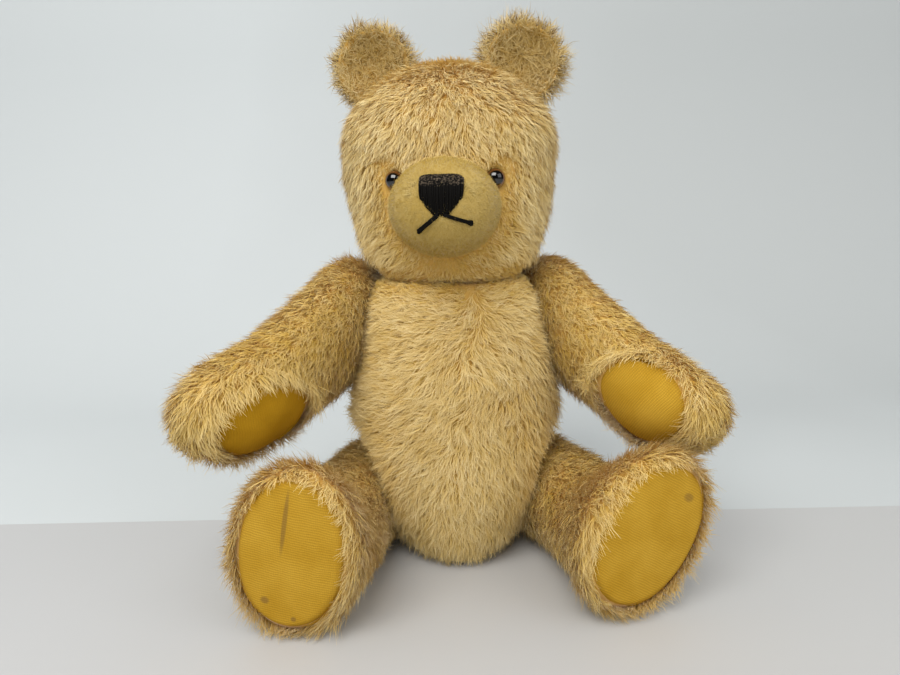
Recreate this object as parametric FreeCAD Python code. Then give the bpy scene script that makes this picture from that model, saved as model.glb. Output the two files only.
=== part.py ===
import FreeCAD, Part
import math
import os

# A five-way jointed mohair teddy bear, in millimetres. It sits facing -Y, its own left side is +X and
# +Z is up. The origin is on the table, under the middle of the flat seat of its torso.
# Every limb and the head hang on a disc joint: a fibreboard disc and a washer on each side of the two
# cloths, drawn together by one cotter pin that turns with the limb.

V = FreeCAD.Vector
SIDES = ("left", "right")

# ---- driving dimensions -------------------------------------------------------------------------
SKIN = 2.0            # sewn cloth with its woven backing
JOINT_GAP = 0.3       # between the two cloths that a disc joint draws together
FELT_PROUD = 0.4      # how far a felt pad stands above the cloth around it

TORSO_SEAM_Y = 9.0    # the side seams lie a little behind the middle
NECK_Z = 172.0
SHOULDER = V(50.0, 9.0, 145.0)
SHOULDER_BACK = 12.0  # degrees that the shoulder axis leans back
SHOULDER_UP = 10.0    # and up
HIP = V(32.5, 8.0, 31.0)
HIP_BACK = 14.0
HIP_ROOM_R = 31.5     # the torso's cloth is drawn in this far round each hip, then flares out at 45 degrees

HEAD_YAW = -7.5       # the head is turned a little to the bear's right
ARM_SWING = {"left": 31.0, "right": 25.0}    # how far each arm slopes below the horizontal
ARM_FLARE = {"left": 33.0, "right": 41.0}    # how far each stuffed paw bends outwards
PAD_ROLL = {"left": 32.0, "right": -6.0}     # where round the paw its pad is sewn, upwards positive
FOOT_ROLL = {"left": 32.0, "right": -10.0}   # twist of each stuffed foot, toes outwards positive

PIN_R = 1.5
PIN_CLEARANCE = 0.05  # running fit of the pin in the discs, washers and cloth
DISC_T = 3.0
WASHER_T = 1.0
WASHER_R = 8.0
HIP_DISC_R = 14.0
SHOULDER_DISC_R = 15.0
NECK_DISC_R = 24.0

EYE_R = 5.6
EYE_X = 28.0
EYE_Z = 230.0
EYE_OUT = V(0.3, -1.0, 0.0)   # the way each eye looks, a little to its own side
EYE_DEPTH = 0.25      # how deep an eye's middle is set in the cloth, over its radius
EYE_GAP = 0.1         # the cloth stands this far off the glass
EYE_SHANK = 21.0      # its wire shank's reach behind its middle
EAR_R = 22.0
EAR_CENTRE = V(44.5, 4.0, 299.0)
EAR_BOWL_R = 50.0     # radius of the ear's cupped back
EAR_T = 8.0           # both layers with the pile between them
MUZZLE_Z = 215.0
GUSSET_HALF = 24.0
NAPE_Z = 205.0        # lower end of the gusset at the back of the head

FAR = 400.0           # larger than the bear, for half-space tools

# ---- outlines, as (place along the form, half width, half height) -----------------------------------
TORSO = [(0, 24, 34), (6, 32, 44.5), (14, 40, 51), (30, 51, 56), (50, 61, 59), (75, 65.5, 59.5),
         (95, 65, 58.5), (120, 61, 55), (145, 55, 49.5), (163, 49.5, 44.5), (172, 46.5, 42)]
HEAD = [(0, 39, 39), (6, 44.5, 43), (17, 49.5, 47.5), (30, 54, 51), (44, 57.5, 53.5), (58, 60, 54.5),
        (76, 61.5, 54), (90, 59.5, 52), (101, 53, 46.5), (111, 43, 38), (119, 30, 27), (124, 16, 14),
        (126, 6, 5)]
HEAD_POWER = 2.35     # roundness of the head seen from above, where 2 is an ellipse
MUZZLE = [(38, 29, 25.5), (56, 29, 25.5), (67, 27.5, 24), (75, 24, 21), (81, 17, 15), (84.5, 8, 7.5)]
NOSE = [(0.0, 0.0), (0.3, 0.0), (0.42, 0.08), (0.78, 0.26), (0.98, 0.45), (1.0, 0.6), (1.0, 0.82),
        (0.9, 0.93), (0.7, 1.0)]      # share of the nose's half width, and of its height
NOSE_HALF = 11.5
NOSE_TOP = MUZZLE_Z + 16.5
NOSE_LOW = MUZZLE_Z - 3.0
NOSE_THREAD = 1.4     # height of the satin stitch over the muzzle
NOSE_Y = -50.0        # both stitchings are drawn in the plane here, behind the muzzle's front
MOUTH_HALF = 14.0
MOUTH_LOW = MUZZLE_Z - 12.5
MOUTH_THREAD = 1.2
ARM = [(-33, 9, 10), (-29, 15, 18), (-18, 21, 28), (0, 24, 34), (25, 24, 34), (50, 24, 31.5),
       (75, 24, 29), (92, 24.5, 28.5), (106, 24.5, 27), (115.5, 21.5, 23.5), (122.5, 15, 17), (126.5, 8, 9)]
ARM_CENTRE = 18.0     # middle of the arm's thickness, from its flat inner face
LEG = [(-29, 8, 9), (-25, 16, 17), (-15, 23, 25.5), (0, 27, 30), (25, 27.5, 30), (55, 28, 28.5),
       (80, 29.5, 28), (95, 31, 31), (107, 32.5, 36), (116, 33.5, 41.5), (123, 33, 44), (128, 30, 42),
       (131, 24.5, 37)]
LEG_CENTRE = 21.0
LEG_SEAM = 22.0       # the leg's two cloths meet here, just outside its middle
LEG_FLARE = 7.5       # the shin leans this far outwards from the thigh
FOOT_RISE = 14.5      # the foot's middle stands this far above the leg's
FLAT_END_S = 60.0     # the flattening against the torso reaches no further along a limb
PAD_CENTRE_S = {"left": 94.0, "right": 98.0}    # middle of each paw pad, along the arm
PAD_LONG = 26.0
PAD_WIDE = 22.5
INSOLE_T = 1.5

SECTION_POINTS = 20


# ---- helpers --------------------------------------------------------------------------------------
def smooth(t):
    """0 before 0, 1 after 1, and a smooth step between."""
    t = max(0.0, min(1.0, t))
    return t * t * (3 - 2 * t)


def turned(v, axis, degrees):
    return FreeCAD.Rotation(axis, degrees).multVec(v)


def oval(centre, across, up, half_across, half_up, power=2.0):
    """A closed rounded section in the plane of two directions."""
    points = []
    for i in range(SECTION_POINTS):
        angle = 2 * math.pi * i / SECTION_POINTS
        c, s = math.cos(angle), math.sin(angle)
        x = math.copysign(abs(c) ** (2 / power), c) * half_across
        y = math.copysign(abs(s) ** (2 / power), s) * half_up
        points.append(centre + across * x + up * y)
    curve = Part.BSplineCurve()
    curve.interpolate(points, PeriodicFlag=True)
    return Part.Wire(curve.toShape())


def loft(sections):
    return Part.makeLoft(sections, True, False)


def inset_stations(stations, inset):
    """The same outline drawn in by a cloth's thickness, all round and at both ends."""
    first, last = stations[0][0], stations[-1][0]
    shrink = 1 - 2 * inset / (last - first)
    out = []
    for station in stations:
        place = first + inset + (station[0] - first) * shrink
        out.append((place,) + tuple(half - inset for half in station[1:]))
    return out


def cylinder_x(radius, start, end):
    """A cylinder along the local X axis."""
    return Part.makeCylinder(radius, end - start, V(start, 0, 0), V(1, 0, 0))


def beyond(origin, normal):
    """A large block on the side of a plane that its normal points to."""
    block = Part.makeBox(2 * FAR, 2 * FAR, FAR, V(-FAR, -FAR, 0))
    block.Placement = FreeCAD.Placement(origin, FreeCAD.Rotation(V(0, 0, 1), normal))
    return block


def placed(shape, origin, rotation):
    out = shape.copy()
    out.Placement = FreeCAD.Placement(origin, rotation).multiply(out.Placement)
    return out


def mirrored(shape):
    return shape.mirror(V(0, 0, 0), V(1, 0, 0))


def export(name, *solids):
    shape = solids[0] if len(solids) == 1 else Part.makeCompound(list(solids))
    shape.exportStep(os.path.join("parts", name + ".step"))


# ---- joint frames: local X leaves the torso along the joint's axis, local -Y runs along the limb --------
def limb_rotation(back, up, swing):
    lean_back = FreeCAD.Rotation(V(0, 0, 1), back)
    lean_up = FreeCAD.Rotation(V(0, 1, 0), -up)
    lower = FreeCAD.Rotation(V(1, 0, 0), swing)
    return lean_back.multiply(lean_up).multiply(lower)


ARM_ROTATION = {side: limb_rotation(SHOULDER_BACK, SHOULDER_UP, ARM_SWING[side]) for side in SIDES}
LEG_ROTATION = limb_rotation(HIP_BACK, 0.0, 0.0)
NECK_ROTATION = FreeCAD.Rotation(V(1, 0, 0), V(0, 0, 1))
HEAD_ROTATION = FreeCAD.Rotation(V(0, 0, 1), HEAD_YAW)
NECK = V(0, 0, NECK_Z)


# ---- disc joints ------------------------------------------------------------------------------------
def disc(radius, start, thickness):
    ring = cylinder_x(radius, start, start + thickness)
    return ring.cut(cylinder_x(PIN_R + PIN_CLEARANCE, start - 1, start + thickness + 1))


TORSO_DISC_X = -SKIN - DISC_T
TORSO_WASHER_X = TORSO_DISC_X - WASHER_T
LIMB_DISC_X = JOINT_GAP + SKIN
LIMB_WASHER_X = LIMB_DISC_X + DISC_T
PIN_HEAD_X = LIMB_WASHER_X + WASHER_T
CURL_R = 2.4
WIRE_R = 0.8
CURL_X = TORSO_WASHER_X - JOINT_GAP - CURL_R - WIRE_R
PIN_END_X = CURL_X - CURL_R - WIRE_R


def cotter_pin():
    """A shank with a cross head in the limb and two curled ends that bear on the torso's washer."""
    shank = cylinder_x(PIN_R, CURL_X, PIN_HEAD_X + PIN_R)
    head = Part.makeCylinder(2 * PIN_R, 6 * PIN_R, V(PIN_HEAD_X + 2 * PIN_R, -3 * PIN_R, 0), V(0, 1, 0))
    curls = [Part.makeTorus(CURL_R, WIRE_R, V(CURL_X, side * CURL_R, 0), V(0, 0, 1)) for side in (1, -1)]
    return shank.fuse([head] + curls).removeSplitter()


def torso_pocket(disc_radius):
    """Room in the torso's stuffing for its disc, its washer and the turning curls of the pin."""
    room = cylinder_x(disc_radius, TORSO_DISC_X, 0)
    return room.fuse(cylinder_x(WASHER_R, PIN_END_X - 1, TORSO_DISC_X + 1))


def limb_pocket(disc_radius):
    """Room in the limb's stuffing for its disc, its washer and the head of the pin."""
    room = cylinder_x(disc_radius, 0, LIMB_WASHER_X)
    return room.fuse(cylinder_x(WASHER_R, LIMB_WASHER_X - 1, PIN_HEAD_X + 4 * PIN_R))


def pin_hole():
    return cylinder_x(PIN_R + PIN_CLEARANCE, -2 * SKIN, 2 * SKIN)


def limb_hardware(disc_radius):
    return {
        "disc": disc(disc_radius, LIMB_DISC_X, DISC_T),
        "washer": disc(WASHER_R, LIMB_WASHER_X, WASHER_T),
        "cotter_pin": cotter_pin(),
    }


# ---- torso ----------------------------------------------------------------------------------------
def hip_room(inset):
    """The hollow that a hip joint pulls into the torso's side, in the joint's frame: a flared round that
    opens forwards and down, where the thigh lies and swings."""
    reach = 2 * HIP_ROOM_R
    radius = HIP_ROOM_R + inset
    flare = Part.makeCone(radius, radius + reach, reach, V(-inset, 0, 0), V(1, 0, 0))
    section = [V(-inset, 0, -FAR), V(-inset, 0, radius), V(reach - inset, 0, radius + reach),
               V(reach - inset, 0, -FAR)]
    wedge = Part.Face(Part.makePolygon(section + [section[0]])).extrude(V(0, -FAR / 4, 0))
    return flare.fuse(wedge)


def torso_form(inset):
    sections = []
    for z, half_x, half_y in inset_stations(TORSO, inset):
        sections.append(oval(V(0, 0, z), V(1, 0, 0), V(0, 1, 0), half_x, half_y))
    form = loft(sections)
    shoulder_axis = ARM_ROTATION["left"].multVec(V(1, 0, 0))
    for tool in (beyond(SHOULDER - shoulder_axis * inset, shoulder_axis),
                 placed(hip_room(inset), HIP, LEG_ROTATION)):
        form = form.cut(tool).cut(mirrored(tool))
    return form


def torso_joints():
    """Where each of the torso's five joints is, and the radius of its discs."""
    return [
        ("neck", NECK, NECK_ROTATION, NECK_DISC_R, False),
        ("shoulder_left", SHOULDER, ARM_ROTATION["left"], SHOULDER_DISC_R, False),
        ("shoulder_right", SHOULDER, ARM_ROTATION["right"], SHOULDER_DISC_R, True),
        ("hip_left", HIP, LEG_ROTATION, HIP_DISC_R, False),
        ("hip_right", HIP, LEG_ROTATION, HIP_DISC_R, True),
    ]


def at_joint(shape, origin, rotation, mirror):
    out = placed(shape, origin, rotation)
    return mirrored(out) if mirror else out


def build_torso():
    outer = torso_form(0.0)
    inner = torso_form(SKIN)
    shell = outer.cut(inner)
    washers = []
    for name, origin, rotation, radius, mirror in torso_joints():
        shell = shell.cut(at_joint(pin_hole(), origin, rotation, mirror))
        inner = inner.cut(at_joint(torso_pocket(radius), origin, rotation, mirror))
        export("torso_disc_" + name, at_joint(disc(radius, TORSO_DISC_X, DISC_T), origin, rotation, mirror))
        washers.append(at_joint(disc(WASHER_R, TORSO_WASHER_X, WASHER_T), origin, rotation, mirror))
    behind = beyond(V(0, TORSO_SEAM_Y, 0), V(0, 1, 0))
    export("torso_front_panel", shell.cut(behind))
    export("torso_back_panel", shell.common(behind))
    export("torso_stuffing", inner)
    export("torso_washers", *washers)


# ---- head: modelled facing -Y from the neck, then turned by its yaw -------------------------------------
HEAD_Z = NECK_Z + JOINT_GAP


def head_form(inset):
    sections = []
    for z, half_x, half_y in inset_stations(HEAD, inset):
        sections.append(oval(V(0, 0, HEAD_Z + z), V(1, 0, 0), V(0, 1, 0), half_x, half_y, HEAD_POWER))
    return loft(sections)


def muzzle_form(inset):
    sections = []
    for y, half_x, half_z in inset_stations(MUZZLE, inset):
        sections.append(oval(V(0, -y, MUZZLE_Z), V(1, 0, 0), V(0, 0, 1), half_x, half_z))
    return loft(sections)


def face_y(x, z):
    """How far forward the face's cloth is at a place on it."""
    for (z0, x0, y0), (z1, x1, y1) in zip(HEAD, HEAD[1:]):
        if z0 <= z - HEAD_Z <= z1:
            share = (z - HEAD_Z - z0) / (z1 - z0)
            half_x = x0 + share * (x1 - x0)
            half_y = y0 + share * (y1 - y0)
            return -half_y * (1 - (x / half_x) ** HEAD_POWER) ** (1 / HEAD_POWER)
    return 0.0


def ear_layers(head):
    """The cupped ear on the bear's left: its lining in front and its back, two sewn layers."""
    centre = EAR_CENTRE - V(0, EAR_BOWL_R - EAR_T / 2, 0)
    outline = Part.makeCylinder(EAR_R, FAR, EAR_CENTRE - V(0, EAR_R, 0), V(0, 1, 0))
    balls = [Part.makeSphere(EAR_BOWL_R - drop, centre) for drop in (0, EAR_T / 2, EAR_T)]
    back = balls[0].cut(balls[1]).common(outline).cut(head)
    front = balls[1].cut(balls[2]).common(outline).cut(head)
    return front, back


def eye():
    """A round glass eye set into the face, on a wire shank that is tied inside the head, and the room
    that the cloth leaves for it."""
    out = V(EYE_OUT).normalize()
    middle = V(EYE_X, face_y(EYE_X, EYE_Z), EYE_Z) - out * (EYE_DEPTH * EYE_R)
    ball = Part.makeSphere(EYE_R, middle)
    socket = Part.makeSphere(EYE_R + EYE_GAP, middle)
    shank = Part.makeCylinder(WIRE_R, EYE_SHANK, middle - out * EYE_SHANK, out).cut(ball)
    return ball, shank, socket


def raised_on_muzzle(outline, height):
    """Thread sewn on the muzzle: a layer of a given height within an outline seen from the front."""
    prism = Part.Face(Part.makePolygon(outline + [outline[0]])).extrude(V(0, -FAR / 4, 0))
    return muzzle_form(-height).common(prism).cut(muzzle_form(0.0))


def nose_outline():
    """A shield: a wide rounded top narrowing to a blunt point."""
    drop = NOSE_TOP - NOSE_LOW
    one_side = [V(x * NOSE_HALF, NOSE_Y, NOSE_LOW + t * drop) for x, t in NOSE]
    other_side = [V(-p.x, p.y, p.z) for p in reversed(one_side[1:])]
    return one_side + other_side


def mouth_outline(side):
    """One straight stroke, from under the nose outwards and down."""
    start = V(0, NOSE_Y, NOSE_LOW)
    end = V(side * MOUTH_HALF, NOSE_Y, MOUTH_LOW)
    across = (end - start).cross(V(0, 1, 0)).normalize() * MOUTH_THREAD
    return [start - across, end - across, end + across, start + across]


def build_head():
    outer, inner = head_form(0.0), head_form(SKIN)
    muzzle_outer, muzzle_inner = muzzle_form(0.0), muzzle_form(SKIN)
    eyes = [eye(), tuple(mirrored(s) for s in eye())]
    pocket = placed(limb_pocket(NECK_DISC_R), NECK, NECK_ROTATION)
    hole = placed(pin_hole(), NECK, NECK_ROTATION)
    shell = outer.cut(inner).cut(muzzle_outer).cut(hole)
    stuffing = inner.fuse(muzzle_inner).cut(pocket)
    inset = muzzle_outer.cut(muzzle_inner).cut(inner)
    for ball, shank, socket in eyes:
        shell = shell.cut(socket).cut(shank)
        inset = inset.cut(socket)
        stuffing = stuffing.cut(socket).cut(shank)

    crown = Part.makeBox(2 * GUSSET_HALF, FAR, FAR, V(-GUSSET_HALF, -FAR / 2, NAPE_Z))
    left_half = beyond(V(0, 0, 0), V(1, 0, 0))
    sides = shell.cut(crown)
    nose = raised_on_muzzle(nose_outline(), NOSE_THREAD)
    mouth = [raised_on_muzzle(mouth_outline(side), MOUTH_THREAD).cut(nose) for side in (1, -1)]
    mouth = mouth[0].fuse(mouth[1])
    ear_front, ear_back = ear_layers(outer)

    pieces = {
        "head_gusset": [shell.common(crown)],
        "head_side_left": [sides.common(left_half)],
        "head_side_right": [sides.cut(left_half)],
        "muzzle_inset": [inset],
        "head_stuffing": [stuffing],
        "ear_lining_left": [ear_front],
        "ear_lining_right": [mirrored(ear_front)],
        "ear_back_left": [ear_back],
        "ear_back_right": [mirrored(ear_back)],
        "eye_left": [eyes[0][0]],
        "eye_right": [eyes[1][0]],
        "eye_shanks": [eyes[0][1], eyes[1][1]],
        "nose_stitching": [nose],
        "mouth_stitching": [mouth],
    }
    for name, shape in limb_hardware(NECK_DISC_R).items():
        pieces["neck_" + name] = [placed(shape, NECK, NECK_ROTATION)]
    for name, solids in pieces.items():
        export(name, *[placed(s, V(0, 0, 0), HEAD_ROTATION) for s in solids])


# ---- limbs: modelled on the bear's left, in their joint's frame, and mirrored for its right --------------
def limb_form(stations, inset, centreline, twist):
    """A stuffed limb: oval sections along a centreline, flat where it meets the torso."""
    along = V(0, -1, 0)
    sections = []
    for s, half_x, half_z in inset_stations(stations, inset):
        across = turned(V(1, 0, 0), along, twist(s))
        up = along.cross(across)
        sections.append(oval(centreline(s), across, up, half_x, half_z))
    pressed = Part.makeBox(FAR, FLAT_END_S + FAR, 2 * FAR, V(JOINT_GAP + inset - FAR, -FLAT_END_S, -FAR))
    return loft(sections).cut(pressed)


def arm_centreline(side):
    """Straight over the disc, then bending outwards more and more towards the paw."""
    def centre(s):
        share = max(0.0, s) / ARM[-1][0]
        return V(ARM_CENTRE + ARM_FLARE[side] * share ** 1.5, -s, 0)
    return centre


def leg_centreline(s):
    lean = LEG_FLARE * smooth(s / LEG[5][0])
    rise = FOOT_RISE * smooth((s - LEG[6][0]) / (LEG[10][0] - LEG[6][0]))
    return V(LEG_CENTRE + lean, -s, rise)


def finish_limb(prefix, side, pieces, hardware, origin, rotation):
    pieces = dict(pieces)
    for name, shape in hardware.items():
        pieces[name] = shape
    for name, shape in pieces.items():
        export("%s_%s_%s" % (prefix, name, side), at_joint(shape, origin, rotation, side == "right"))


def build_arm(side):
    centre = arm_centreline(side)
    outer = limb_form(ARM, 0.0, centre, lambda s: 0.0)
    inner = limb_form(ARM, SKIN, centre, lambda s: 0.0)
    proud = limb_form(ARM, -FELT_PROUD, centre, lambda s: 0.0)
    shell = outer.cut(inner).cut(pin_hole())

    pad_s = PAD_CENTRE_S[side]
    middle = centre(pad_s)
    along = (centre(pad_s + 1) - centre(pad_s - 1)).normalize()
    facing = turned(along.cross(V(0, 0, 1)).normalize(), along, -PAD_ROLL[side])
    rim = oval(middle, along, facing.cross(along).normalize(), PAD_LONG, PAD_WIDE)
    stamp = Part.Face(rim).extrude(facing * FAR / 4)
    seam = beyond(centre(0), V(-1, -ARM_FLARE[side] / ARM[-1][0], 0))
    stuffing = inner.cut(limb_pocket(SHOULDER_DISC_R))
    pieces = {
        "inner_panel": shell.common(seam).cut(stamp),
        "outer_panel": shell.cut(seam).cut(stamp),
        "paw_pad": proud.common(stamp).cut(inner),
        "stuffing": stuffing,
    }
    finish_limb("arm", side, pieces, limb_hardware(SHOULDER_DISC_R), SHOULDER, ARM_ROTATION[side])


def build_leg(side):
    def twist(s):
        return -FOOT_ROLL[side] * smooth(s / LEG[-3][0])

    outer = limb_form(LEG, 0.0, leg_centreline, twist)
    inner = limb_form(LEG, SKIN, leg_centreline, twist)
    sole_s = LEG[-1][0] - SKIN
    sole = beyond(V(0, -sole_s, 0), V(0, -1, 0))
    insole = beyond(V(0, -sole_s + INSOLE_T, 0), V(0, -1, 0))
    inner_side = beyond(V(LEG_SEAM, 0, 0), V(-1, 0, 0))
    upper = outer.cut(sole)
    pieces = {
        "inner_panel": upper.common(inner_side).cut(inner).cut(pin_hole()),
        "outer_panel": upper.cut(inner_side).cut(inner),
        "sole_pad": outer.common(sole),
        "insole_card": inner.common(insole).cut(sole),
        "stuffing": inner.cut(insole).cut(limb_pocket(HIP_DISC_R)),
    }
    finish_limb("leg", side, pieces, limb_hardware(HIP_DISC_R), HIP, LEG_ROTATION)


os.makedirs("parts", exist_ok=True)
build_torso()
build_head()
for bear_side in SIDES:
    build_arm(bear_side)
    build_leg(bear_side)
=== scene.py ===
import math

import bmesh
import bpy
import numpy as np
from mathutils import Matrix, Vector
from mathutils.bvhtree import BVHTree
from mathutils.kdtree import KDTree


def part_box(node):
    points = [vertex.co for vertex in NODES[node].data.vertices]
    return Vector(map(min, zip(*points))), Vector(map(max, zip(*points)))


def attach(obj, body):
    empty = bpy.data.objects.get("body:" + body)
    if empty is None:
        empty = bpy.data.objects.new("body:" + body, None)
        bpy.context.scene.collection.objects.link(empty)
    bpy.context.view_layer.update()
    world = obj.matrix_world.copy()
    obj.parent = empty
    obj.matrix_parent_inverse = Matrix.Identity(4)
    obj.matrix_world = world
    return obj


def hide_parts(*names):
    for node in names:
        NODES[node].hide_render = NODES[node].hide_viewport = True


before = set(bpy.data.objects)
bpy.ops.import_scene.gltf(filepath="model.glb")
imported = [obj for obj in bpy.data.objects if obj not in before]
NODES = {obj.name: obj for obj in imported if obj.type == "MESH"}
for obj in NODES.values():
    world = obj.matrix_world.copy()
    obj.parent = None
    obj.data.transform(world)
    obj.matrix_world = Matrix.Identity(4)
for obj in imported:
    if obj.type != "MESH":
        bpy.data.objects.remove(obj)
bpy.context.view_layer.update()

MM = 0.001
SEED = 11
UP = np.array([0.0, 0.0, 1.0])
SIDES = ("left", "right")
SIGN = {"left": 1.0, "right": -1.0}

HEAD_TURN = math.radians(-7.5)
SEAM_Y = 9.0 * MM
NOSE_TOP_Z = 230.6 * MM
NOSE_LOW_Z = 210.2 * MM
NOSE_HALF = 11.2 * MM
MUZZLE_SWELL = 0.7 * MM
FLOOR_CLEAR = 0.4 * MM
CLOTH_STEPS = 20
CLOTH_SWELL = 1.8 * MM
CLOTH_PRESSURE = {"torso": 16.0, "head": 120.0, "limb": 60.0}
SEAM_REACH = 7.0 * MM
COVER_HOLD = 4.0 * MM
COVER_FREE = 10.0 * MM
VIEW_HEADING = math.radians(-4.0)
CAMERA_PLACE = (-32.0 * MM, -428.8 * MM, 209.0 * MM)
CAMERA_TILT = math.radians(80.0)
CAMERA_ROLL = math.radians(-1.2)
CAMERA_LENS = 27.04

FUR_PER_MM2 = 1.5
FUR_WIDTH = 0.38 * MM
FUR_STEPS = 3
FUR_PIECE_LIMIT = 30000
CARD_UV_HALF = 0.004
ROOT_SINK = 0.4 * MM

KNIT_ROW = 1.25 * MM
KNIT_STITCH = 0.9 * MM
# The knit depths set both the bump and the painted shade in the knit grooves.
KNIT_DEPTH = 0.26
WORN_KNIT_DEPTH = 0.10
LIMB_DROOP = {"arm": 0.15, "leg": 0.3}

SCENE = bpy.context.scene


# ---------------------------------------------------------------- arrays and small maths

def unit(v):
    """Rows of v scaled to length one."""
    return v / np.maximum(np.linalg.norm(v, axis=-1, keepdims=True), 1e-9)


def dot(a, b):
    """Row by row dot product, kept as a column."""
    return np.sum(a * b, axis=-1, keepdims=True)


def smoothstep(low, high, x):
    """0 below low, 1 above high, smooth between."""
    t = np.clip((x - low) / (high - low), 0.0, 1.0)
    return t * t * (3.0 - 2.0 * t)


def turn_z(v, angle):
    """Rows of v turned about +Z."""
    c, s = math.cos(angle), math.sin(angle)
    turned = v.copy()
    turned[..., 0] = c * v[..., 0] - s * v[..., 1]
    turned[..., 1] = s * v[..., 0] + c * v[..., 1]
    return turned


def ripple(p, wavelength, seed):
    """A smooth random field over space, about -1 to 1."""
    rng = np.random.default_rng(seed)
    total = np.zeros(len(p))
    waves = 7
    for _ in range(waves):
        direction = unit(rng.normal(size=3))
        size = wavelength * rng.uniform(0.6, 1.6)
        phase = rng.uniform(0.0, 2.0 * math.pi)
        total += np.sin(p @ direction * (2.0 * math.pi / size) + phase)
    return total / math.sqrt(waves) / 1.2


def vertex_array(mesh):
    co = np.empty(len(mesh.vertices) * 3, np.float32)
    mesh.vertices.foreach_get("co", co)
    return co.reshape(-1, 3).astype(np.float64)


def triangle_array(mesh):
    mesh.calc_loop_triangles()
    tri = np.empty(len(mesh.loop_triangles) * 3, np.int32)
    mesh.loop_triangles.foreach_get("vertices", tri)
    return tri.reshape(-1, 3)


def triangle_areas(points, tri):
    """The area of each triangle."""
    a, b, c = points[tri[:, 0]], points[tri[:, 1]], points[tri[:, 2]]
    return 0.5 * np.linalg.norm(np.cross(b - a, c - a), axis=1)


def normal_array(mesh):
    normals = np.empty(len(mesh.vertices) * 3, np.float32)
    mesh.vertices.foreach_get("normal", normals)
    return normals.reshape(-1, 3).astype(np.float64)


def tree_of(meshes):
    """One search tree over several meshes."""
    points = []
    faces = []
    for mesh in meshes:
        base = len(points)
        points.extend(v.co.copy() for v in mesh.vertices)
        faces.extend((triangle_array(mesh) + base).tolist())
    return BVHTree.FromPolygons(points, faces)


def distances(tree, points, reach):
    """Distance from each point to the tree's surface, or reach where it is farther."""
    found = np.full(len(points), reach)
    for i, p in enumerate(points):
        near = tree.find_nearest(Vector(p), reach)
        if near[3] is not None:
            found[i] = near[3]
    return found


def node_centre(node):
    low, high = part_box(node)
    return (np.array(low) + np.array(high)) / 2.0


# ---------------------------------------------------------------- objects

def add_object(name, mesh, body, material):
    """A new piece that rides on a body."""
    obj = bpy.data.objects.new(name, mesh)
    SCENE.collection.objects.link(obj)
    mesh.materials.clear()
    mesh.materials.append(material)
    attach(obj, body)
    return obj


def shade_smooth(mesh):
    mesh.polygons.foreach_set("use_smooth", np.ones(len(mesh.polygons), bool))


def mesh_from(name, points, faces):
    mesh = bpy.data.meshes.new(name)
    mesh.from_pydata([tuple(p) for p in points], [], [tuple(f) for f in faces])
    mesh.update()
    return mesh


def baked(obj):
    """The object's mesh with its modifiers applied; the object itself is removed."""
    bpy.context.view_layer.update()
    graph = bpy.context.evaluated_depsgraph_get()
    mesh = bpy.data.meshes.new_from_object(obj.evaluated_get(graph))
    old = obj.data
    bpy.data.objects.remove(obj)
    bpy.data.meshes.remove(old)
    return mesh


# ---------------------------------------------------------------- skins

def joined_nodes(name, nodes):
    """One mesh with copies of several CAD nodes."""
    bm = bmesh.new()
    for node in nodes:
        bm.from_mesh(NODES[node].data)
    mesh = bpy.data.meshes.new(name)
    bm.to_mesh(mesh)
    bm.free()
    return mesh


def remeshed(name, nodes, voxel, smoothing):
    """A closed, even skin over CAD solids that touch each other."""
    obj = bpy.data.objects.new(name, joined_nodes(name, nodes))
    SCENE.collection.objects.link(obj)
    remesh = obj.modifiers.new("even", "REMESH")
    remesh.mode = "VOXEL"
    remesh.voxel_size = voxel
    remesh.use_smooth_shade = True
    relax = obj.modifiers.new("relax", "SMOOTH")
    relax.factor = 0.5
    relax.iterations = smoothing
    return keep_outside(baked(obj))


def keep_outside(mesh):
    """Removes every island but the largest."""
    bm = bmesh.new()
    bm.from_mesh(mesh)
    bm.faces.ensure_lookup_table()
    seen = set()
    islands = []
    for start in bm.faces:
        if start.index in seen:
            continue
        island = []
        stack = [start]
        seen.add(start.index)
        while stack:
            face = stack.pop()
            island.append(face)
            for edge in face.edges:
                for other in edge.link_faces:
                    if other.index not in seen:
                        seen.add(other.index)
                        stack.append(other)
        islands.append(island)
    islands.sort(key=len, reverse=True)
    spare = [face for island in islands[1:] for face in island]
    if spare:
        bmesh.ops.delete(bm, geom=spare, context="FACES")
    bm.to_mesh(mesh)
    bm.free()
    shade_smooth(mesh)
    mesh.update()
    return mesh


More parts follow.
